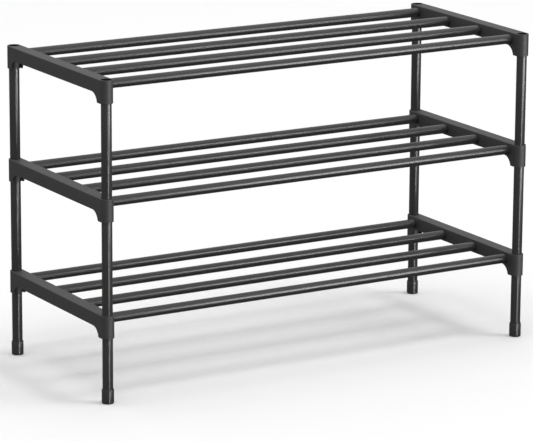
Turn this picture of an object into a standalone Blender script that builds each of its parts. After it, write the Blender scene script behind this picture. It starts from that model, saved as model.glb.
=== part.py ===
"""Three-tier push-fit shoe rack: six moulded end brackets, twelve shelf tubes, posts, legs and feet.

Units are metres. +X runs along the shelves, +Y runs from the front to the back and +Z is up.
The origin is on the floor, in the middle of the rack.
"""
import math

import bmesh
import bpy

# Frame, measured between post axes
POST_SPACING_X = 0.645
POST_SPACING_Y = 0.262
RACK_HEIGHT = 0.430
TIER_PITCH = 0.1555
TIERS = ("bottom", "middle", "top")
FIT_GAP = 0.0003

# End bracket: a beam open from below, with an upright sleeve at each end
BEAM_HALF_WIDTH = 0.0092
BEAM_HEIGHT = 0.0183
BEAM_END_ARC_INSET = 0.0007
SKIRT_WALL = 0.0020
TOP_WALL = 0.0022
SLEEVE_HEIGHT = 0.0308
SLEEVE_RADIUS = 0.0083
SLEEVE_WEB = 0.0020
GUSSET_RADIUS = 0.0151
GUSSET_CENTRE_INSET = 0.0233

# Shelf tubes, four in each tier
TUBE_RADIUS = 0.0065
TUBE_WALL = 0.0007
TUBE_PITCH = 0.0768
TUBES_PER_TIER = 4
SOCKET_BOSS_RADIUS = 0.0083
SOCKET_FLOOR_X = -0.0060

# Posts, legs and foot caps
POST_RADIUS = 0.0070
POST_WALL = 0.0007
FOOT_RADIUS = 0.00815
FOOT_HEIGHT = 0.0190
FOOT_FLOOR = 0.0030
FOOT_EDGE = 0.0016
FOOT_RIM_EDGE = 0.0003

# Facets round a full turn, then facets in one quarter round
POST_FACETS = 20
TUBE_FACETS = 16
GUSSET_FACETS = 5
FOOT_EDGE_FACETS = 2

# Cutters run this far past the surface they cut
CUT_CLEARANCE = 0.010
WELD_DISTANCE = 1e-6
SHARP_EDGE_DEGREES = 30

CORNERS = {
    "front_left": (-0.5, -0.5),
    "front_right": (0.5, -0.5),
    "rear_left": (-0.5, 0.5),
    "rear_right": (0.5, 0.5),
}

FINISHES = {
    # name: (colour, roughness, metallic)
    "bracket_plastic": ((0.048, 0.048, 0.048, 1.0), 0.60, 0.0),
    "tube_paint": ((0.050, 0.050, 0.050, 1.0), 0.22, 0.0),
    "foot_plastic": ((0.045, 0.045, 0.045, 1.0), 0.24, 0.0),
}


def clear_scene():
    for item in list(bpy.data.objects):
        bpy.data.objects.remove(item, do_unlink=True)


def new_collection(name):
    collection = bpy.data.collections.new(name)
    bpy.context.scene.collection.children.link(collection)
    return collection


def make_finish(name):
    colour, roughness, metallic = FINISHES[name]
    material = bpy.data.materials.new(name)
    material.use_nodes = True
    shader = material.node_tree.nodes["Principled BSDF"]
    shader.inputs["Base Color"].default_value = colour
    shader.inputs["Roughness"].default_value = roughness
    shader.inputs["Metallic"].default_value = metallic
    material.diffuse_color = colour
    return material


def add_object(name, data, collection, location=(0, 0, 0), rotation=(0, 0, 0)):
    item = bpy.data.objects.new(name, data)
    item.location = location
    item.rotation_euler = rotation
    collection.objects.link(item)
    return item


def as_cutter(item):
    item.hide_render = True
    item.display_type = "WIRE"
    return item


def add_cylinder(name, radius, low, high, facets, collection, centre=(0, 0), lying=False):
    """Closed cylinder from low to high along Z at (x, y), or lying along X at (y, z)."""
    mesh = bpy.data.meshes.new(name)
    shape = bmesh.new()
    bmesh.ops.create_cone(
        shape, cap_ends=True, cap_tris=False, segments=facets,
        radius1=radius, radius2=radius, depth=high - low,
    )
    shape.to_mesh(mesh)
    shape.free()
    middle = (low + high) / 2
    if lying:
        location = (middle, centre[0], centre[1])
        rotation = (0, math.pi / 2, 0)
    else:
        location = (centre[0], centre[1], middle)
        rotation = (0, 0, 0)
    return as_cutter(add_object(name, mesh, collection, location, rotation))


def add_block(name, low, high, collection):
    mesh = bpy.data.meshes.new(name)
    shape = bmesh.new()
    bmesh.ops.create_cube(shape, size=1.0)
    size = [b - a for a, b in zip(low, high)]
    bmesh.ops.scale(shape, vec=size, verts=shape.verts)
    shape.to_mesh(mesh)
    shape.free()
    centre = [(a + b) / 2 for a, b in zip(low, high)]
    return as_cutter(add_object(name, mesh, collection, centre))


def arc(centre, radius, start_degrees, end_degrees, facets):
    """Points on an arc, both ends included."""
    points = []
    for step in range(facets + 1):
        angle = math.radians(start_degrees + (end_degrees - start_degrees) * step / facets)
        points.append((centre[0] + radius * math.cos(angle), centre[1] + radius * math.sin(angle)))
    return points


def add_outline(name, points, thickness, collection, location, rotation=(0, 0, 0)):
    """Flat closed outline given thickness, turned into a welded mesh."""
    curve = bpy.data.curves.new(name, "CURVE")
    curve.dimensions = "2D"
    curve.fill_mode = "BOTH"
    curve.extrude = thickness / 2
    spline = curve.splines.new("POLY")
    spline.points.add(len(points) - 1)
    for point, (x, y) in zip(spline.points, points):
        point.co = (x, y, 0, 1)
    spline.use_cyclic_u = True
    guide = add_object(name + "_curve", curve, collection, location, rotation)
    bpy.context.view_layer.update()
    evaluated = guide.evaluated_get(bpy.context.evaluated_depsgraph_get())
    mesh = bpy.data.meshes.new_from_object(evaluated)
    shape = bmesh.new()
    shape.from_mesh(mesh)
    bmesh.ops.remove_doubles(shape, verts=shape.verts, dist=WELD_DISTANCE)
    bmesh.ops.recalc_face_normals(shape, faces=shape.faces)
    shape.to_mesh(mesh)
    shape.free()
    item = add_object(name, mesh, collection)
    item.matrix_world = guide.matrix_world.copy()
    bpy.data.objects.remove(guide)
    return item


def subtract(item, cutters):
    modifier = item.modifiers.new("cut", "BOOLEAN")
    modifier.operation = "DIFFERENCE"
    modifier.solver = "EXACT"
    modifier.operand_type = "COLLECTION"
    modifier.collection = cutters


def evaluated_mesh(item, name):
    bpy.context.view_layer.update()
    evaluated = item.evaluated_get(bpy.context.evaluated_depsgraph_get())
    mesh = bpy.data.meshes.new_from_object(evaluated)
    mesh.name = name
    return mesh


def bracket_outline():
    """Plan of the beam: straight sides with a round end just inside each post axis."""
    end = POST_SPACING_Y / 2 - BEAM_END_ARC_INSET
    facets = POST_FACETS // 2
    return arc((0, end), BEAM_HALF_WIDTH, 0, 180, facets) + arc((0, -end), BEAM_HALF_WIDTH, 180, 360, facets)


def arch_outline():
    """Side view of the space under the beam, with a quarter-round gusset at each end."""
    centre_y = POST_SPACING_Y / 2 - GUSSET_CENTRE_INSET
    centre_z = -BEAM_HEIGHT - GUSSET_RADIUS
    foot_z = -SLEEVE_HEIGHT - CUT_CLEARANCE
    rear = arc((centre_y, centre_z), GUSSET_RADIUS, 90, 0, GUSSET_FACETS)
    front = arc((-centre_y, centre_z), GUSSET_RADIUS, 180, 90, GUSSET_FACETS)
    return [(-centre_y - GUSSET_RADIUS, foot_z)] + front + rear + [(centre_y + GUSSET_RADIUS, foot_z)]


def tube_rows():
    """Distances of the shelf tubes from the middle of the bracket, front to rear."""
    first = -TUBE_PITCH * (TUBES_PER_TIER - 1) / 2
    return [first + TUBE_PITCH * index for index in range(TUBES_PER_TIER)]


def bracket_mesh(cutter_root):
    """One end bracket with its top face at z = 0 and its tube sockets facing +X."""
    keep = bpy.data.collections.new("bracket_keep")
    cuts = bpy.data.collections.new("bracket_cuts")
    cutter_root.children.link(keep)
    cutter_root.children.link(cuts)
    post_rows = (-POST_SPACING_Y / 2, POST_SPACING_Y / 2)
    socket_z = -BEAM_HEIGHT / 2

    for number, y in enumerate(post_rows, 1):
        add_cylinder("sleeve_%d" % number, SLEEVE_RADIUS, -SLEEVE_HEIGHT - 2 * CUT_CLEARANCE,
                     CUT_CLEARANCE, POST_FACETS, keep, (0, y))
    for number, y in enumerate(tube_rows(), 1):
        add_cylinder("boss_%d" % number, SOCKET_BOSS_RADIUS, -CUT_CLEARANCE, CUT_CLEARANCE,
                     TUBE_FACETS, keep, (y, socket_z), lying=True)

    channel = BEAM_HALF_WIDTH - SKIRT_WALL
    hollow = add_block("hollow", (-channel, post_rows[0], -SLEEVE_HEIGHT - CUT_CLEARANCE),
                       (channel, post_rows[1], -TOP_WALL), cutter_root)
    subtract(hollow, keep)
    hollow_mesh = evaluated_mesh(hollow, "hollow_shape")
    carved = as_cutter(add_object("hollow_shape", hollow_mesh, cuts))
    carved.matrix_world = hollow.matrix_world.copy()

    arch_width = 2 * (BEAM_HALF_WIDTH + CUT_CLEARANCE)
    arch = add_outline("arch", arch_outline(), arch_width, cuts,
                       (0, 0, 0), (math.pi / 2, 0, math.pi / 2))
    as_cutter(arch)
    web_middle = -SLEEVE_HEIGHT / 2
    bore = POST_RADIUS + FIT_GAP
    for number, y in enumerate(post_rows, 1):
        add_cylinder("upper_bore_%d" % number, bore, web_middle + SLEEVE_WEB / 2, CUT_CLEARANCE,
                     POST_FACETS, cuts, (0, y))
        add_cylinder("lower_bore_%d" % number, bore, -SLEEVE_HEIGHT - CUT_CLEARANCE,
                     web_middle - SLEEVE_WEB / 2, POST_FACETS, cuts, (0, y))
    for number, y in enumerate(tube_rows(), 1):
        add_cylinder("tube_bore_%d" % number, TUBE_RADIUS + FIT_GAP, SOCKET_FLOOR_X,
                     BEAM_HALF_WIDTH + CUT_CLEARANCE, TUBE_FACETS, cuts, (y, socket_z), lying=True)

    blank = as_cutter(add_outline("bracket_blank", bracket_outline(), SLEEVE_HEIGHT, cutter_root,
                                  (0, 0, -SLEEVE_HEIGHT / 2)))
    subtract(blank, cuts)
    mesh = evaluated_mesh(blank, "end_bracket")
    mesh.transform(blank.matrix_world)
    mesh.shade_smooth()
    mesh.set_sharp_from_angle(angle=math.radians(SHARP_EDGE_DEGREES))
    return mesh


def turned_object(name, profile, closed, facets, collection):
    """Profile of (radius, height) points turned about Z; it runs down its outer side."""
    mesh = bpy.data.meshes.new(name)
    edges = [(i, i + 1) for i in range(len(profile) - 1)]
    if closed:
        edges.append((len(profile) - 1, 0))
    mesh.from_pydata([(radius, 0, height) for radius, height in profile], edges, [])
    item = add_object(name, mesh, collection)
    screw = item.modifiers.new("turn", "SCREW")
    screw.axis = "Z"
    screw.angle = 2 * math.pi
    screw.steps = facets
    screw.render_steps = facets
    screw.use_merge_vertices = True
    screw.merge_threshold = WELD_DISTANCE
    screw.use_smooth_shade = True
    return item


def tube_profile(radius, wall, length):
    return [(radius, length / 2), (radius, -length / 2),
            (radius - wall, -length / 2), (radius - wall, length / 2)]


def foot_profile():
    bore = POST_RADIUS + FIT_GAP
    return [
        (0, FOOT_FLOOR), (bore, FOOT_FLOOR), (bore, FOOT_HEIGHT),
        (FOOT_RADIUS - FOOT_RIM_EDGE, FOOT_HEIGHT), (FOOT_RADIUS, FOOT_HEIGHT - FOOT_RIM_EDGE),
        *arc((FOOT_RADIUS - FOOT_EDGE, FOOT_EDGE), FOOT_EDGE, 0, -90, FOOT_EDGE_FACETS),
        (0, 0),
    ]


def tier_top(tier):
    """Height of a bracket's top face."""
    return RACK_HEIGHT - TIER_PITCH * (len(TIERS) - 1 - TIERS.index(tier))


def place_brackets(mesh, collection, root, finish):
    mesh.materials.clear()
    mesh.materials.append(finish)
    for tier in TIERS:
        for side, x, turn in (("left", -POST_SPACING_X / 2, 0), ("right", POST_SPACING_X / 2, math.pi)):
            item = add_object("bracket_%s_%s" % (side, tier), mesh, collection,
                              (x, 0, tier_top(tier)), (0, 0, turn))
            item.parent = root


def place_shelf_tubes(collection, root, finish):
    length = POST_SPACING_X - 2 * (SOCKET_FLOOR_X + FIT_GAP)
    for tier in TIERS:
        for number, y in enumerate(tube_rows(), 1):
            item = turned_object("shelf_tube_%s_%d" % (tier, number),
                                 tube_profile(TUBE_RADIUS, TUBE_WALL, length),
                                 True, TUBE_FACETS, collection)
            item.data.materials.append(finish)
            item.location = (0, y, tier_top(tier) - BEAM_HEIGHT / 2)
            item.rotation_euler = (0, math.pi / 2, 0)
            item.parent = root


def place_upright(name, corner, low, high, collection, root, finish):
    item = turned_object(name, tube_profile(POST_RADIUS, POST_WALL, high - low), True,
                         POST_FACETS, collection)
    item.data.materials.append(finish)
    item.location = (corner[0] * POST_SPACING_X, corner[1] * POST_SPACING_Y, (low + high) / 2)
    item.parent = root


def place_uprights(collection, root, finish):
    """Legs below the bottom tier, then a post in each gap between tiers."""
    web_top = -SLEEVE_HEIGHT / 2 + SLEEVE_WEB / 2 + FIT_GAP
    web_bottom = -SLEEVE_HEIGHT / 2 - SLEEVE_WEB / 2 - FIT_GAP
    for corner_name, corner in CORNERS.items():
        place_upright("leg_" + corner_name, corner, FOOT_FLOOR + FIT_GAP,
                      tier_top("bottom") + web_bottom, collection, root, finish)
        place_upright("post_lower_" + corner_name, corner, tier_top("bottom") + web_top,
                      tier_top("middle") + web_bottom, collection, root, finish)
        place_upright("post_upper_" + corner_name, corner, tier_top("middle") + web_top,
                      tier_top("top") + web_bottom, collection, root, finish)


def place_feet(collection, root, finish):
    for corner_name, corner in CORNERS.items():
        item = turned_object("foot_" + corner_name, foot_profile(), False, POST_FACETS, collection)
        item.data.materials.append(finish)
        item.location = (corner[0] * POST_SPACING_X, corner[1] * POST_SPACING_Y, 0)
        item.parent = root


def main():
    clear_scene()
    rack = new_collection("tiered_shoe_rack")
    cutters = new_collection("cutters")
    root = add_object("rack_root", None, rack)
    bracket_plastic = make_finish("bracket_plastic")
    tube_paint = make_finish("tube_paint")
    foot_plastic = make_finish("foot_plastic")
    place_brackets(bracket_mesh(cutters), rack, root, bracket_plastic)
    place_shelf_tubes(rack, root, tube_paint)
    place_uprights(rack, root, tube_paint)
    place_feet(rack, root, foot_plastic)
    bpy.context.view_layer.update()


main()
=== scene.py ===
"""Finished surfaces, materials and studio for a push-fit tiered shoe rack.

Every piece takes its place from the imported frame. Units are metres, +X runs along the shelves,
+Y from front to back and +Z up. The floor is z = 0.
"""
import math

import bmesh
import bpy
import numpy as np
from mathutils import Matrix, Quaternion, Vector


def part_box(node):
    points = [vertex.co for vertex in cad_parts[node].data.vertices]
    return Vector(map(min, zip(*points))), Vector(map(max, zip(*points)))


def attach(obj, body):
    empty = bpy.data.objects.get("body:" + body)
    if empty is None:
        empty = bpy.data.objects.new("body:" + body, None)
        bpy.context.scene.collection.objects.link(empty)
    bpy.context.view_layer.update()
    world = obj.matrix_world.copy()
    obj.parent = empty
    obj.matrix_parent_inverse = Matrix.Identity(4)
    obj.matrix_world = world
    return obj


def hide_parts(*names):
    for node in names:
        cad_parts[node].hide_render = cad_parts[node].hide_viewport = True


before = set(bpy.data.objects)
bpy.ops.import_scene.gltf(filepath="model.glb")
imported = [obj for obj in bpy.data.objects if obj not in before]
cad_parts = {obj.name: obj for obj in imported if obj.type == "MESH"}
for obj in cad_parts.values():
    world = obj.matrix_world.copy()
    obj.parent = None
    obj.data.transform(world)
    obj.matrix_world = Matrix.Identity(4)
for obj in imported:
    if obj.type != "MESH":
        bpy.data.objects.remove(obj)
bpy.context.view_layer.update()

bl_info = {
    "name": "Tiered shoe rack",
    "version": (1, 0, 0),
    "blender": (4, 5, 0),
    "location": "3D View > Sidebar > Shoe rack",
    "description": "Builds the finished pieces of a push-fit shoe rack and its studio",
    "category": "Object",
}

BODY = "root"
TIERS = ("bottom", "middle", "top")
SIDES = ("left", "right")
CORNERS = ("front_left", "front_right", "rear_left", "rear_right")
UPRIGHTS = ("leg", "post_lower", "post_upper")
TUBES_PER_TIER = 4

# Steps along the rounded edges and curves of a piece.
EDGE_STEPS = 6
BEAM_END_STEPS = 32
ARCH_STEPS = 24
CHANNEL_STEPS = 4
CAP_EDGE_STEPS = 4
CAP_FLOOR_STEPS = 8
BORE_FACETS = 64
FLOOR_LINES = 9

# Metres. A shaping solid runs past the surface it cuts by TOOL_REACH.
TOOL_REACH = 0.004
CHANNEL_FILLET = 0.0008
BOSS_WALL = 0.0018
WELD_DISTANCE = 1e-7
BRACKET_WELD_DISTANCE = 1e-6

# Sockets of a Mix node that mixes colours: factor, first and second colour, and the result.
MIX_FACTOR, MIX_FIRST, MIX_SECOND, MIX_RESULT = 0, 6, 7, 2

# Brightness of the surroundings against height: 0 is straight down, 0.5 level, 1 straight up.
SURROUNDINGS = ((0.46, 0.13), (0.52, 0.75))

# Each light panel has a name, azimuth and elevation in degrees, distance, (width, height) and radiance.
SOFTBOXES = (
    ("key_softbox", 53.0, 60.0, 30.0, (8.0, 8.0), 9.0),
    ("overhead_softbox", 0.0, 88.0, 6.0, (6.0, 6.0), 1.0),
)
LIGHT_STRIPS = (
    ("upright_strip", 7.0, -14.0, 10.0, (0.7, 3.5), 29.0),
    ("shelf_strip", 31.0, 0.0, 3.0, (1.5, 0.70), 13.5),
    ("upper_shelf_strip", 31.0, 16.0, 3.0, (1.5, 0.60), 8.0),
)
LIGHT_TARGET = (0.0, 0.0, 0.2)


# ---------------------------------------------------------------- frame measures

def box_array(node):
    """Lowest and highest corner of a frame node, as two rows."""
    low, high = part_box(node)
    return np.array([low, high], dtype=float)


def box_centre(node):
    """Middle of a frame node's box."""
    return box_array(node).mean(axis=0)


BRACKET_BOX = box_array("bracket_left_top")
BRACKET_CENTRE = BRACKET_BOX.mean(axis=0)
BEAM_HALF_WIDTH = float(np.ptp(BRACKET_BOX[:, 0]) / 2)
BRACKET_HALF_LENGTH = float(np.ptp(BRACKET_BOX[:, 1]) / 2)
SLEEVE_HEIGHT = float(np.ptp(BRACKET_BOX[:, 2]))
POST_ROW = float(box_centre("post_upper_rear_left")[1])
POST_RADIUS = float(np.ptp(box_array("post_upper_rear_left")[:, 0]) / 2)
TUBE_RADIUS = float(np.ptp(box_array("shelf_tube_top_1")[:, 2]) / 2)
TUBE_ROWS = np.array([box_centre("shelf_tube_top_%d" % (k + 1))[1] for k in range(TUBES_PER_TIER)])
TUBE_DROP = float(BRACKET_BOX[1, 2] - box_centre("shelf_tube_top_1")[2])
TUBE_END_X = float(box_array("shelf_tube_top_1")[0, 0] - BRACKET_CENTRE[0])
FOOT_BOX = box_array("foot_front_left")
FOOT_RADIUS = float(np.ptp(FOOT_BOX[:, 0]) / 2)
FOOT_HEIGHT = float(FOOT_BOX[1, 2])
LEG_START = float(box_array("leg_front_left")[0, 2])


# ---------------------------------------------------------------- settings

class ShoeRackBracketSettings(bpy.types.PropertyGroup):
    """Shape of the end brackets."""

    beam_height: bpy.props.FloatProperty(
        name="Beam height", description="Height of the beam between its sleeves",
        default=0.0183, min=0.016, max=SLEEVE_HEIGHT, unit="LENGTH")
    gusset_radius: bpy.props.FloatProperty(
        name="Gusset radius", description="Quarter round between beam and sleeve",
        default=0.0151, min=0.005, max=0.03, unit="LENGTH")
    gusset_inset: bpy.props.FloatProperty(
        name="Gusset inset", description="From the post axis to the centre of the quarter round",
        default=0.0233, min=0.01, max=0.05, unit="LENGTH")
    skirt_wall: bpy.props.FloatProperty(
        name="Skirt wall", description="Thickness of the two skins beside the hollow",
        default=0.0020, min=0.001, max=0.004, unit="LENGTH")
    top_wall: bpy.props.FloatProperty(
        name="Top wall", description="Thickness of the top over the hollow",
        default=0.0022, min=0.001, max=0.004, unit="LENGTH")
    sleeve_wall: bpy.props.FloatProperty(
        name="Sleeve wall", description="Thickness of the sleeve round a post",
        default=0.0012, min=0.0008, max=0.002, unit="LENGTH")
    sleeve_web: bpy.props.FloatProperty(
        name="Sleeve web", description="Stop in the middle of a sleeve",
        default=0.0020, min=0.001, max=0.004, unit="LENGTH")
    top_round: bpy.props.FloatProperty(
        name="Top edge round", description="Rounding along the upper outside edge",
        default=0.0009, min=0.0002, max=0.003, unit="LENGTH")
    lower_round: bpy.props.FloatProperty(
        name="Lower edge round", description="Rounding along the lower edges",
        default=0.0004, min=0.0001, max=0.001, unit="LENGTH")
    mouth_round: bpy.props.FloatProperty(
        name="Socket mouth round", description="Rounding where a post or tube enters",
        default=0.0004, min=0.0001, max=0.001, unit="LENGTH")
    fit_gap: bpy.props.FloatProperty(
        name="Fit gap", description="Clearance drawn round a pushed-in tube",
        default=0.0001, min=0.00002, max=0.0005, unit="LENGTH")


class ShoeRackTubeSettings(bpy.types.PropertyGroup):
    """Shape of the shelf tubes, posts and legs."""

    wall: bpy.props.FloatProperty(
        name="Tube wall", description="Wall thickness of the steel tube",
        default=0.0007, min=0.0004, max=0.002, unit="LENGTH")
    end_round: bpy.props.FloatProperty(
        name="Cut end round", description="Deburred edge on a cut end",
        default=0.0002, min=0.00005, max=0.0005, unit="LENGTH")
    facets: bpy.props.IntProperty(
        name="Facets", description="Steps round a tube", default=64, min=16, max=128)


class ShoeRackFootSettings(bpy.types.PropertyGroup):
    """Shape of the foot caps."""

    floor_edge: bpy.props.FloatProperty(
        name="Floor edge round", description="Rounding where the cap meets the floor",
        default=0.0018, min=0.0005, max=0.004, unit="LENGTH")
    rim_edge: bpy.props.FloatProperty(
        name="Rim edge round", description="Rounding of the upper rim",
        default=0.0004, min=0.0001, max=0.0008, unit="LENGTH")


class ShoeRackFinishSettings(bpy.types.PropertyGroup):
    """Colours of the finishes, and the painted shade inside the post sockets, as sRGB hex values."""

    bracket_dark: bpy.props.StringProperty(
        name="Bracket dark", description="Darker tone of the moulded brackets", default="#3c3c3c")
    bracket_light: bpy.props.StringProperty(
        name="Bracket light", description="Lighter tone of the moulded brackets", default="#424242")
    # Painted shade: bore is a near-black tone for the inside of the post sockets, where the shade of the
    # recess falls.
    bore: bpy.props.StringProperty(
        name="Bore", description="Tone inside the post sockets", default="#0c0c0c")
    coat_dark: bpy.props.StringProperty(
        name="Coat dark", description="Darker tone of the powder coat", default="#3c3c3c")
    coat_light: bpy.props.StringProperty(
        name="Coat light", description="Lighter tone of the powder coat", default="#424242")
    foot_dark: bpy.props.StringProperty(
        name="Foot dark", description="Darker tone of the foot caps", default="#393939")
    foot_light: bpy.props.StringProperty(
        name="Foot light", description="Lighter tone of the foot caps", default="#3f3f3f")
    floor_tone: bpy.props.StringProperty(
        name="Floor", description="Tone of the studio floor", default="#f4f4f4")


class ShoeRackStageSettings(bpy.types.PropertyGroup):
    """Camera and floor."""

    azimuth: bpy.props.FloatProperty(
        name="Camera azimuth", description="Turn of the camera towards the left end",
        default=math.radians(30.84), subtype="ANGLE", unit="ROTATION")
    elevation: bpy.props.FloatProperty(
        name="Camera elevation", description="Height of the camera above the horizon",
        default=math.radians(13.99), subtype="ANGLE", unit="ROTATION")
    roll: bpy.props.FloatProperty(
        name="Camera roll", description="Turn of the camera about its own line of sight",
        default=math.radians(0.35), subtype="ANGLE", unit="ROTATION")
    distance: bpy.props.FloatProperty(
        name="Camera distance", description="From the camera to the point it looks at",
        default=4.5502, min=1.0, max=20.0, unit="LENGTH")
    aim: bpy.props.FloatVectorProperty(
        name="Camera aim", description="Point in the middle of the picture",
        default=(-0.00845, -0.00527, 0.17944), subtype="XYZ", unit="LENGTH")
    lens: bpy.props.FloatProperty(
        name="Lens", description="Focal length on a 36 mm sensor, in millimetres",
        default=224.5, min=20.0, max=400.0)
    floor_reach: bpy.props.FloatProperty(
        name="Floor reach", description="Half width of the studio floor",
        default=40.0, min=2.0, max=100.0, unit="LENGTH")


def settings(name):
    """One group of settings: bracket, tube, foot, finish or stage."""
    return getattr(bpy.context.scene, "shoe_rack_" + name)


# ---------------------------------------------------------------- surfaces

def grid_mesh(name, points, close_rows=False, close_columns=True):
    """Mesh of quads over a grid of points shaped (rows, columns, 3).

    Row r and column c make the quad (r, c), (r, c+1), (r+1, c+1), (r+1, c); a closed
    direction runs on from its last line to its first.
    """
    rows, columns = points.shape[:2]
    index = np.arange(rows * columns).reshape(rows, columns)
    if close_rows:
        index = np.concatenate([index, index[:1]], axis=0)
    if close_columns:
        index = np.concatenate([index, index[:, :1]], axis=1)
    quads = np.stack([index[:-1, :-1], index[:-1, 1:], index[1:, 1:], index[1:, :-1]], axis=-1)
    mesh = bpy.data.meshes.new(name)
    mesh.from_pydata(points.reshape(-1, 3), [], quads.reshape(-1, 4).tolist())
    weld(mesh)
    return mesh


def weld(mesh, distance=WELD_DISTANCE):
    """Joins points that coincide, which closes poles and seams."""
    shape = bmesh.new()
    shape.from_mesh(mesh)
    bmesh.ops.remove_doubles(shape, verts=shape.verts, dist=distance)
    bmesh.ops.recalc_face_normals(shape, faces=shape.faces)
    shape.to_mesh(mesh)
    shape.free()
    mesh.update()


def quarter(centre, radius, start, end, steps):
    """Arc of a circle: centre plus radius times (cos, sin), from start to end degrees."""
    angle = np.radians(np.linspace(start, end, steps + 1))
    return np.column_stack([centre[0] + radius * np.cos(angle), centre[1] + radius * np.sin(angle)])


def turned(profile, facets, centre=(0.0, 0.0, 0.0), lying=False):
    """Profile (radius r, height h) turned: (r cos a, r sin a, h), or (h, r cos a, r sin a) lying."""
    angle = np.linspace(0.0, 2.0 * np.pi, facets, endpoint=False)
    radius, height = profile[:, :1], profile[:, 1:2]
    across = radius * np.cos(angle)
    along = radius * np.sin(angle)
    level = np.broadcast_to(height, across.shape)
    parts = (level, across, along) if lying else (across, along, level)
    return np.stack(parts, axis=-1) + np.asarray(centre, dtype=float)


def tube_profile(radius, wall, low, high, edge, steps=4):
    """Section through a tube's wall, a closed loop with its four corners rounded by edge."""
    inner = radius - wall
    return np.concatenate([
        quarter((radius - edge, high - edge), edge, 90, 0, steps),
        quarter((radius - edge, low + edge), edge, 0, -90, steps),
        quarter((inner + edge, low + edge), edge, 270, 180, steps),
        quarter((inner + edge, high - edge), edge, 180, 90, steps),
    ])


def stadium_prism(end, levels, steps):
    """Beam body: at each level (radius, height) the plan is two half circles of that radius
    about (0, end) and (0, -end), joined by straight sides."""
    rear = np.linspace(0.0, np.pi, steps + 1)
    angle = np.concatenate([rear, rear + np.pi])
    centre = np.concatenate([np.full(steps + 1, end), np.full(steps + 1, -end)])
    radius = levels[:, :1]
    x = radius * np.cos(angle)
    y = radius * np.sin(angle) + centre
    z = np.broadcast_to(levels[:, 1:2], x.shape)
    return np.stack([x, y, z], axis=-1)


def arch_prism(centre_y, centre_z, radius, foot_z, stations, steps):
    """Space under the beam: at each station (x, growth) an upside-down U whose top corners
    are quarter circles of radius + growth about (+-centre_y, centre_z)."""
    grow = stations[:, 1:2]
    angle = np.radians(np.concatenate([np.linspace(180, 90, steps + 1), np.linspace(90, 0, steps + 1)]))
    middle = np.concatenate([np.full(steps + 1, -centre_y), np.full(steps + 1, centre_y)])
    y = (radius + grow) * np.cos(angle) + middle
    z = (radius + grow) * np.sin(angle) + centre_z
    y = np.concatenate([y[:, :1], y, y[:, -1:]], axis=1)
    z = np.concatenate([np.full_like(z[:, :1], foot_z), z, np.full_like(z[:, :1], foot_z)], axis=1)
    x = np.broadcast_to(stations[:, :1], y.shape)
    return np.stack([x, y, z], axis=-1)


def channel_prism(half_width, low, ceiling, half_length, fillet, steps):
    """Hollow of the beam: a U section with rounded upper corners, carried straight along Y."""
    section = np.concatenate([
        [(-half_width, low)],
        quarter((-half_width + fillet, ceiling - fillet), fillet, 180, 90, steps),
        quarter((half_width - fillet, ceiling - fillet), fillet, 90, 0, steps),
        [(half_width, low)],
    ])
    y = np.array([-half_length, half_length])
    x = np.broadcast_to(section[:, 0], (2, len(section)))
    z = np.broadcast_to(section[:, 1], (2, len(section)))
    return np.stack([x, np.broadcast_to(y[:, None], x.shape), z], axis=-1)


def capped(points):
    """Adds a first and a last row in the middle of each end loop, which closes the ends."""
    first = np.broadcast_to(points[:1].mean(axis=1, keepdims=True), points[:1].shape)
    last = np.broadcast_to(points[-1:].mean(axis=1, keepdims=True), points[-1:].shape)
    return np.concatenate([first, points, last], axis=0)


def scene_object(name, data):
    """New object in the scene that shows the given mesh, light or camera."""
    item = bpy.data.objects.new(name, data)
    bpy.context.scene.collection.objects.link(item)
    return item


def tool_object(name, points):
    """Closed solid that only shapes another one."""
    return scene_object(name, grid_mesh(name, capped(points)))


def carve(item, tools):
    """Takes the tools away from item and returns the mesh that is left."""
    for tool in tools:
        cut = item.modifiers.new(tool.name, "BOOLEAN")
        cut.operation = "DIFFERENCE"
        cut.solver = "EXACT"
        cut.object = tool
    bpy.context.view_layer.update()
    evaluated = item.evaluated_get(bpy.context.evaluated_depsgraph_get())
    mesh = bpy.data.meshes.new_from_object(evaluated)
    for used in [item] + tools:
        bpy.data.objects.remove(used, do_unlink=True)
    return mesh


def mesh_points(mesh):
    """Points of a mesh, one row each."""
    points = np.empty(len(mesh.vertices) * 3, dtype=np.float32)
    mesh.vertices.foreach_get("co", points)
    return points.reshape(-1, 3).astype(float)


def set_mesh_points(mesh, points):
    """Moves the points of a mesh to the given rows."""
    mesh.vertices.foreach_set("co", points.astype(np.float32).ravel())
    mesh.update()


def add_piece(node, mesh, material, sharp_degrees=35.0):
    """Finished piece that stands for one frame node and rides on the rack's body."""
    mesh.materials.clear()
    mesh.materials.append(material)
    mesh.shade_smooth()
    mesh.set_sharp_from_angle(angle=math.radians(sharp_degrees))
    piece = scene_object(node + "_finished", mesh)
    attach(piece, BODY)
    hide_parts(node)
    return piece


# ---------------------------------------------------------------- materials

def linear_colour(hex_value):
    """sRGB hex, such as #2a2a2a, as linear red, green, blue and alpha."""
    channels = np.array([int(hex_value[k:k + 2], 16) for k in (1, 3, 5)]) / 255.0
    linear = np.where(channels <= 0.04045, channels / 12.92, ((channels + 0.055) / 1.055) ** 2.4)
    return (*linear.tolist(), 1.0)


def add_node(tree, kind, inputs=None, **values):
    """Adds a node. inputs gives each socket a value or the output that feeds it."""
    made = tree.nodes.new(kind)
    for name, value in values.items():
        setattr(made, name, value)
    for name, value in (inputs or {}).items():
        if isinstance(value, bpy.types.NodeSocket):
            tree.links.new(value, made.inputs[name])
        else:
            made.inputs[name].default_value = value
    return made


def new_tree(name):
    """Empty node material and its node tree."""
    material = bpy.data.materials.new(name)
    material.use_nodes = True
    material.node_tree.nodes.clear()
    return material, material.node_tree


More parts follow.
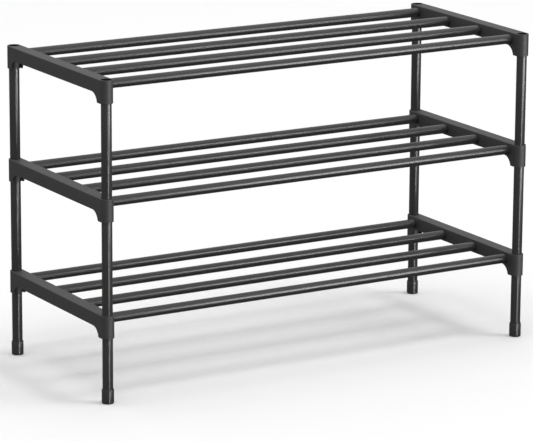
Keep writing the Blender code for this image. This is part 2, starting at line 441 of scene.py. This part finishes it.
def coated_surface(name, dark, light, grain_mm, peel_mm, bump_mm, roughness, spread, shader, bore=None):
    """Surface with a fine grain over a broader waviness; both raise the relief, the grain moves the roughness
    and the waviness the tone.

    grain_mm and peel_mm are the sizes of one grain and one wave, bump_mm is the relief height.
    bore is the near-black tone of painted shade inside the post sockets, where the mesh attribute of that
    name is 1.
    """
    material, tree = new_tree(name)
    place = add_node(tree, "ShaderNodeTexCoord")
    grain = add_node(tree, "ShaderNodeTexNoise", {
        "Vector": place.outputs["Object"], "Scale": 1000.0 / grain_mm, "Detail": 2.0, "Roughness": 0.6})
    peel = add_node(tree, "ShaderNodeTexNoise", {
        "Vector": place.outputs["Object"], "Scale": 1000.0 / peel_mm, "Detail": 3.0, "Roughness": 0.5})
    tone = add_node(tree, "ShaderNodeMix", {
        MIX_FACTOR: peel.outputs["Fac"], MIX_FIRST: linear_colour(dark),
        MIX_SECOND: linear_colour(light)}, data_type="RGBA")
    # Painted shade: inside the post sockets the tone is mixed towards the near-black bore tone.
    if bore:
        inside = add_node(tree, "ShaderNodeAttribute", attribute_name="bore")
        tone = add_node(tree, "ShaderNodeMix", {
            MIX_FACTOR: inside.outputs["Fac"], MIX_FIRST: tone.outputs[MIX_RESULT],
            MIX_SECOND: linear_colour(bore)}, data_type="RGBA")
    gloss = add_node(tree, "ShaderNodeMapRange", {
        "Value": grain.outputs["Fac"], "From Min": 0.3, "From Max": 0.7,
        "To Min": roughness - spread, "To Max": roughness + spread})
    relief = add_node(tree, "ShaderNodeMath", {
        0: grain.outputs["Fac"], 1: peel.outputs["Fac"]}, operation="ADD")
    bump = add_node(tree, "ShaderNodeBump", {
        "Height": relief.outputs["Value"], "Strength": 1.0, "Distance": bump_mm / 1000.0})
    surface = add_node(tree, "ShaderNodeBsdfPrincipled", {
        "Base Color": tone.outputs[MIX_RESULT], "Roughness": gloss.outputs["Result"],
        "Normal": bump.outputs["Normal"], **shader})
    add_node(tree, "ShaderNodeOutputMaterial", {"Surface": surface.outputs["BSDF"]})
    return material


def moulded_polypropylene():
    """Black polypropylene from a spark-eroded mould: a satin skin that spreads the light softly."""
    tones = settings("finish")
    # Real grain is about 0.3 mm; it is drawn at 0.9 mm so that it shows.
    # bore paints shade inside the post sockets with a near-black tone.
    return coated_surface(
        "Moulded black polypropylene", tones.bracket_dark, tones.bracket_light,
        grain_mm=0.9, peel_mm=14.0, bump_mm=0.012, roughness=0.56, spread=0.05,
        shader={"IOR": 1.49, "Specular IOR Level": 0.5}, bore=tones.bore)


def powder_coated_steel():
    """Black powder coat baked on steel tube: slight orange peel, a crisp line of light over a sheen."""
    tones = settings("finish")
    # Real orange peel is 1 to 2 mm from crest to crest.
    return coated_surface(
        "Black powder-coated steel", tones.coat_dark, tones.coat_light,
        grain_mm=1.6, peel_mm=30.0, bump_mm=0.002, roughness=0.26, spread=0.015,
        shader={"IOR": 1.5, "Specular IOR Level": 0.5})


def moulded_polyethylene():
    """Black polyethylene cap from a polished mould: smoother and a little shinier than the brackets."""
    tones = settings("finish")
    # The mould's fine marks are drawn coarser than they are, so that they show.
    return coated_surface(
        "Moulded black polyethylene", tones.foot_dark, tones.foot_light,
        grain_mm=1.2, peel_mm=9.0, bump_mm=0.003, roughness=0.27, spread=0.02,
        shader={"IOR": 1.51, "Specular IOR Level": 0.5})


def studio_vinyl():
    """Matt white vinyl floor: almost no texture, and no gloss that would mirror the rack."""
    material, tree = new_tree("Matt white studio vinyl")
    place = add_node(tree, "ShaderNodeTexCoord")
    # Soft unevenness about 0.4 m across, faint enough to read as plain.
    cloud = add_node(tree, "ShaderNodeTexNoise", {"Vector": place.outputs["Object"], "Scale": 2.5})
    gloss = add_node(tree, "ShaderNodeMapRange", {
        "Value": cloud.outputs["Fac"], "To Min": 0.85, "To Max": 0.95})
    surface = add_node(tree, "ShaderNodeBsdfPrincipled", {
        "Base Color": linear_colour(settings("finish").floor_tone),
        "Roughness": gloss.outputs["Result"], "Specular IOR Level": 0.1})
    add_node(tree, "ShaderNodeOutputMaterial", {"Surface": surface.outputs["BSDF"]})
    return material


# ---------------------------------------------------------------- operators

def bracket_body(size):
    """Outside of a bracket: a stadium in plan, with its lower and upper edges rounded."""
    end = BRACKET_HALF_LENGTH - BEAM_HALF_WIDTH
    bottom = -SLEEVE_HEIGHT
    low_edge = size.lower_round
    top_edge = size.top_round
    levels = np.concatenate([
        [(0.0, bottom)],
        quarter((BEAM_HALF_WIDTH - low_edge, bottom + low_edge), low_edge, -90, 0, EDGE_STEPS),
        quarter((BEAM_HALF_WIDTH - top_edge, -top_edge), top_edge, 0, 90, EDGE_STEPS),
        [(0.0, 0.0)],
    ])
    return scene_object("bracket_body", grid_mesh("bracket_body", stadium_prism(end, levels, BEAM_END_STEPS)))


def bracket_arch(size):
    """Space under the beam. It opens out where it meets the two outer faces, which rounds its edge."""
    low_edge = size.lower_round
    right = np.concatenate([
        quarter((BEAM_HALF_WIDTH - low_edge, low_edge), low_edge, -90, 0, EDGE_STEPS),
        [(BEAM_HALF_WIDTH + TOOL_REACH, low_edge)],
    ])
    stations = np.concatenate([right[::-1] * (-1.0, 1.0), right])
    centre_y = POST_ROW - size.gusset_inset
    centre_z = -size.beam_height - size.gusset_radius
    return tool_object("arch", arch_prism(centre_y, centre_z, size.gusset_radius,
                                          -SLEEVE_HEIGHT - TOOL_REACH, stations, ARCH_STEPS))


def bracket_hollow(size, bore):
    """Hollow of the beam, less the sleeves round the posts and the bosses round the shelf tubes."""
    bottom = -SLEEVE_HEIGHT
    half_channel = BEAM_HALF_WIDTH - size.skirt_wall
    hollow = tool_object("hollow_tool", channel_prism(
        half_channel, bottom - TOOL_REACH, -size.top_wall, POST_ROW, CHANNEL_FILLET, CHANNEL_STEPS))
    keep = []
    sleeve_radius = bore + size.sleeve_wall
    for row in (-POST_ROW, POST_ROW):
        column = np.array([(sleeve_radius, bottom - 2 * TOOL_REACH), (sleeve_radius, TOOL_REACH)])
        keep.append(tool_object("sleeve", turned(column, BORE_FACETS, (0, row, 0))))
    boss_radius = TUBE_RADIUS + BOSS_WALL
    for row in TUBE_ROWS:
        boss = np.array([(boss_radius, -BEAM_HALF_WIDTH), (boss_radius, BEAM_HALF_WIDTH)])
        keep.append(tool_object("boss", turned(boss, BORE_FACETS, (0, row, -TUBE_DROP), lying=True)))
    mesh = carve(hollow, keep)
    weld(mesh)
    return scene_object("hollow", mesh)


def post_sockets(size, bore):
    """Space for the posts above and below the web, with rounded mouths."""
    tools = []
    bottom = -SLEEVE_HEIGHT
    web = size.sleeve_web / 2
    middle = bottom / 2
    mouth = size.mouth_round
    for row in (-POST_ROW, POST_ROW):
        upper = np.concatenate([
            [(bore, middle + web)],
            quarter((bore + mouth, -mouth), mouth, 180, 90, EDGE_STEPS),
            [(bore + mouth, TOOL_REACH)]])
        lower = np.concatenate([
            [(bore, middle - web)],
            quarter((bore + mouth, bottom + mouth), mouth, 180, 270, EDGE_STEPS),
            [(bore + mouth, bottom - TOOL_REACH)]])
        tools.append(tool_object("upper_bore", turned(upper, BORE_FACETS, (0, row, 0))))
        tools.append(tool_object("lower_bore", turned(lower, BORE_FACETS, (0, row, 0))))
    return tools


def tube_sockets(size):
    """Space for the shelf tubes, from the inner face to just behind their ends."""
    tools = []
    mouth = size.mouth_round
    bore = TUBE_RADIUS + size.fit_gap
    for row in TUBE_ROWS:
        socket = np.concatenate([
            [(bore, TUBE_END_X - size.fit_gap)],
            quarter((bore + mouth, BEAM_HALF_WIDTH - mouth), mouth, 180, 90, EDGE_STEPS),
            [(bore + mouth, BEAM_HALF_WIDTH + TOOL_REACH)]])
        tools.append(tool_object("tube_bore", turned(socket, BORE_FACETS, (0, row, -TUBE_DROP), lying=True)))
    return tools


def bracket_shape():
    """One end bracket with its top at z = 0, its posts on x = 0 and its tube sockets facing +X."""
    size = settings("bracket")
    bore = POST_RADIUS + size.fit_gap
    body = bracket_body(size)
    tools = [bracket_arch(size), bracket_hollow(size, bore), *post_sockets(size, bore), *tube_sockets(size)]
    mesh = carve(body, tools)
    weld(mesh, BRACKET_WELD_DISTANCE)
    # Mask for the painted shade inside the post sockets.
    mark_painted_bore_shade(mesh, bore + size.mouth_round / 2)
    return mesh


def mark_painted_bore_shade(mesh, radius):
    """Writes the attribute bore, the mask of the painted shade in the post sockets: 1 where a point is within
    radius of a post axis, else 0.
    """
    x, y, _ = mesh_points(mesh).T
    inside = np.hypot(x, np.abs(y) - POST_ROW) < radius
    layer = mesh.attributes.new("bore", "FLOAT", "POINT")
    layer.data.foreach_set("value", inside.astype(np.float32))


class ShoeRackEndBrackets(bpy.types.Operator):
    """Moulds the six end brackets"""

    bl_idname = "shoe_rack.end_brackets"
    bl_label = "End brackets"

    def execute(self, context):
        material = moulded_polypropylene()
        shape = bracket_shape()
        points = mesh_points(shape)
        for side in SIDES:
            turn = 1.0 if side == "left" else -1.0
            for tier in TIERS:
                node = "bracket_%s_%s" % (side, tier)
                place = box_centre(node)
                place[2] = box_array(node)[1, 2]
                mesh = shape.copy()
                set_mesh_points(mesh, points * (turn, turn, 1.0) + place)
                piece = add_piece(node, mesh, material)
                even = piece.modifiers.new("even_faces", "WEIGHTED_NORMAL")
                even.keep_sharp = True
        return {"FINISHED"}


class ShoeRackShelfTubes(bpy.types.Operator):
    """Draws the twelve shelf tubes"""

    bl_idname = "shoe_rack.shelf_tubes"
    bl_label = "Shelf tubes"

    def execute(self, context):
        material = powder_coated_steel()
        size = settings("tube")
        for tier in TIERS:
            for number in range(1, TUBES_PER_TIER + 1):
                node = "shelf_tube_%s_%d" % (tier, number)
                (low, _, _), (high, _, _) = box_array(node)
                _, y, z = box_centre(node)
                profile = tube_profile(TUBE_RADIUS, size.wall, low, high, size.end_round)
                grid = turned(profile, size.facets, (0.0, y, z), lying=True)
                add_piece(node, grid_mesh(node, grid, close_rows=True), material)
        return {"FINISHED"}


class ShoeRackUprights(bpy.types.Operator):
    """Draws the legs and posts"""

    bl_idname = "shoe_rack.uprights"
    bl_label = "Legs and posts"

    def execute(self, context):
        material = powder_coated_steel()
        size = settings("tube")
        for kind in UPRIGHTS:
            for corner in CORNERS:
                node = "%s_%s" % (kind, corner)
                low, high = box_array(node)[:, 2]
                x, y, _ = box_centre(node)
                profile = tube_profile(POST_RADIUS, size.wall, low, high, size.end_round)
                grid = turned(profile, size.facets, (x, y, 0.0))
                add_piece(node, grid_mesh(node, grid, close_rows=True), material)
        return {"FINISHED"}


class ShoeRackFootCaps(bpy.types.Operator):
    """Moulds the four foot caps"""

    bl_idname = "shoe_rack.foot_caps"
    bl_label = "Foot caps"

    def execute(self, context):
        material = moulded_polyethylene()
        size = settings("foot")
        bore = POST_RADIUS + settings("bracket").fit_gap
        floor = LEG_START - settings("bracket").fit_gap
        rim = size.rim_edge
        edge = size.floor_edge
        profile = np.concatenate([
            [(0.0, floor), (bore, floor)],
            quarter((bore + rim, FOOT_HEIGHT - rim), rim, 180, 90, CAP_EDGE_STEPS),
            quarter((FOOT_RADIUS - rim, FOOT_HEIGHT - rim), rim, 90, 0, CAP_EDGE_STEPS),
            quarter((FOOT_RADIUS - edge, edge), edge, 0, -90, CAP_FLOOR_STEPS),
            [(0.0, 0.0)],
        ])
        for corner in CORNERS:
            node = "foot_" + corner
            x, y, _ = box_centre(node)
            mesh = grid_mesh(node, turned(profile, settings("tube").facets, (x, y, 0.0)))
            add_piece(node, mesh, material)
        return {"FINISHED"}


class ShoeRackStage(bpy.types.Operator):
    """Lays the floor and sets the light and the camera"""

    bl_idname = "shoe_rack.stage"
    bl_label = "Studio"

    def execute(self, context):
        stage = settings("stage")
        self.lay_floor(stage)
        self.set_world()
        self.hang_lights()
        self.place_camera(stage)
        return {"FINISHED"}

    def lay_floor(self, stage):
        """Flat square grid at z = 0. Only the camera sees it, so the dim surroundings below and the
        low strip still reach the rack."""
        line = np.linspace(-stage.floor_reach, stage.floor_reach, FLOOR_LINES)
        x, y = np.meshgrid(line, line)
        mesh = grid_mesh("floor", np.stack([x, y, np.zeros_like(x)], axis=-1), close_columns=False)
        mesh.materials.append(studio_vinyl())
        floor = scene_object("floor", mesh)
        floor.visible_glossy = False
        floor.visible_diffuse = False
        floor.visible_shadow = False

    def set_world(self):
        """Pale surroundings above the horizon and dim ones below it; the camera sees plain white."""
        world = bpy.data.worlds.new("Studio surroundings")
        bpy.context.scene.world = world
        world.use_nodes = True
        tree = world.node_tree
        tree.nodes.clear()
        place = add_node(tree, "ShaderNodeTexCoord")
        parts = add_node(tree, "ShaderNodeSeparateXYZ", {"Vector": place.outputs["Generated"]})
        height = add_node(tree, "ShaderNodeMapRange", {
            "Value": parts.outputs["Z"], "From Min": -1.0, "From Max": 1.0})
        ramp = add_node(tree, "ShaderNodeValToRGB", {"Fac": height.outputs["Result"]})
        for element, (position, level) in zip(ramp.color_ramp.elements, SURROUNDINGS):
            element.position = position
            element.color = (level, level, level, 1.0)
        path = add_node(tree, "ShaderNodeLightPath")
        soft = add_node(tree, "ShaderNodeBackground", {"Color": ramp.outputs["Color"], "Strength": 1.0})
        white = add_node(tree, "ShaderNodeBackground", {"Color": (1.0, 1.0, 1.0, 1.0), "Strength": 1.0})
        shown = add_node(tree, "ShaderNodeMixShader", {
            0: path.outputs["Is Camera Ray"], 1: soft.outputs["Background"], 2: white.outputs["Background"]})
        add_node(tree, "ShaderNodeOutputWorld", {"Surface": shown.outputs["Shader"]})

    def hang_lights(self):
        """Two softboxes, front right and overhead, light the matt side of things and draw the shadows.
        Three strips in front are seen only in the gloss, as lines of light on the tubes and posts."""
        for panel in SOFTBOXES:
            self.hang_panel(*panel).visible_glossy = False
        for panel in LIGHT_STRIPS:
            self.hang_panel(*panel).visible_diffuse = False

    def hang_panel(self, name, azimuth, elevation, distance, size, radiance):
        """Panel facing the rack, azimuth degrees from -Y towards +X and elevation degrees up.

        A flat panel gives off pi times its radiance times its area.
        """
        target = np.array(LIGHT_TARGET)
        turn, rise = math.radians(azimuth), math.radians(elevation)
        unit = np.array([math.sin(turn) * math.cos(rise), -math.cos(turn) * math.cos(rise), math.sin(rise)])
        data = bpy.data.lights.new(name, "AREA")
        data.shape = "RECTANGLE"
        data.size, data.size_y = size
        data.energy = radiance * math.pi * size[0] * size[1]
        light = scene_object(name, data)
        light.location = target + unit * distance
        light.rotation_euler = aim_rotation(-unit)
        light.visible_camera = False
        return light

    def place_camera(self, stage):
        """Camera on its line of sight, which is (sin a cos e, cos a cos e, -sin e)."""
        data = bpy.data.cameras.new("camera")
        data.lens = stage.lens
        data.sensor_width = 36.0
        data.clip_start = 0.1
        data.clip_end = 200.0
        camera = scene_object("camera", data)
        sight = np.array([
            math.sin(stage.azimuth) * math.cos(stage.elevation),
            math.cos(stage.azimuth) * math.cos(stage.elevation),
            -math.sin(stage.elevation),
        ])
        camera.location = np.array(stage.aim) - sight * stage.distance
        camera.rotation_euler = aim_rotation(sight, stage.roll)
        bpy.context.scene.camera = camera
        bpy.context.scene.view_settings.view_transform = "Standard"


def aim_rotation(direction, roll=0.0):
    """Turn that points an object's -Z along direction with its Y up, then rolls it."""
    turn = Vector(direction).to_track_quat("-Z", "Y")
    return (turn @ Quaternion((0.0, 0.0, 1.0), roll)).to_euler()


class ShoeRackPanel(bpy.types.Panel):
    """Sidebar panel with the settings and one button for each group of pieces"""

    bl_idname = "VIEW3D_PT_shoe_rack"
    bl_label = "Shoe rack"
    bl_space_type = "VIEW_3D"
    bl_region_type = "UI"
    bl_category = "Shoe rack"

    def draw(self, context):
        for group in SETTINGS:
            column = self.layout.column(align=True)
            values = settings(group)
            for name in SETTINGS[group].__annotations__:
                column.prop(values, name)
        for operator in OPERATORS:
            self.layout.operator(operator.bl_idname)


SETTINGS = {
    "bracket": ShoeRackBracketSettings,
    "tube": ShoeRackTubeSettings,
    "foot": ShoeRackFootSettings,
    "finish": ShoeRackFinishSettings,
    "stage": ShoeRackStageSettings,
}
OPERATORS = (ShoeRackEndBrackets, ShoeRackShelfTubes, ShoeRackUprights, ShoeRackFootCaps, ShoeRackStage)


def register():
    for group in SETTINGS.values():
        bpy.utils.register_class(group)
    for item in (*OPERATORS, ShoeRackPanel):
        bpy.utils.register_class(item)
    for name, group in SETTINGS.items():
        setattr(bpy.types.Scene, "shoe_rack_" + name, bpy.props.PointerProperty(type=group))


def unregister():
    for name in SETTINGS:
        delattr(bpy.types.Scene, "shoe_rack_" + name)
    for item in (ShoeRackPanel, *reversed(OPERATORS), *SETTINGS.values()):
        bpy.utils.unregister_class(item)


def write_sizes():
    """Brings the view layer up to date."""
    bpy.context.view_layer.update()


def main():
    """Builds every group of pieces and the stage."""
    register()
    bpy.ops.shoe_rack.end_brackets()
    bpy.ops.shoe_rack.shelf_tubes()
    bpy.ops.shoe_rack.uprights()
    bpy.ops.shoe_rack.foot_caps()
    bpy.ops.shoe_rack.stage()
    write_sizes()


if __name__ == "__main__":
    main()
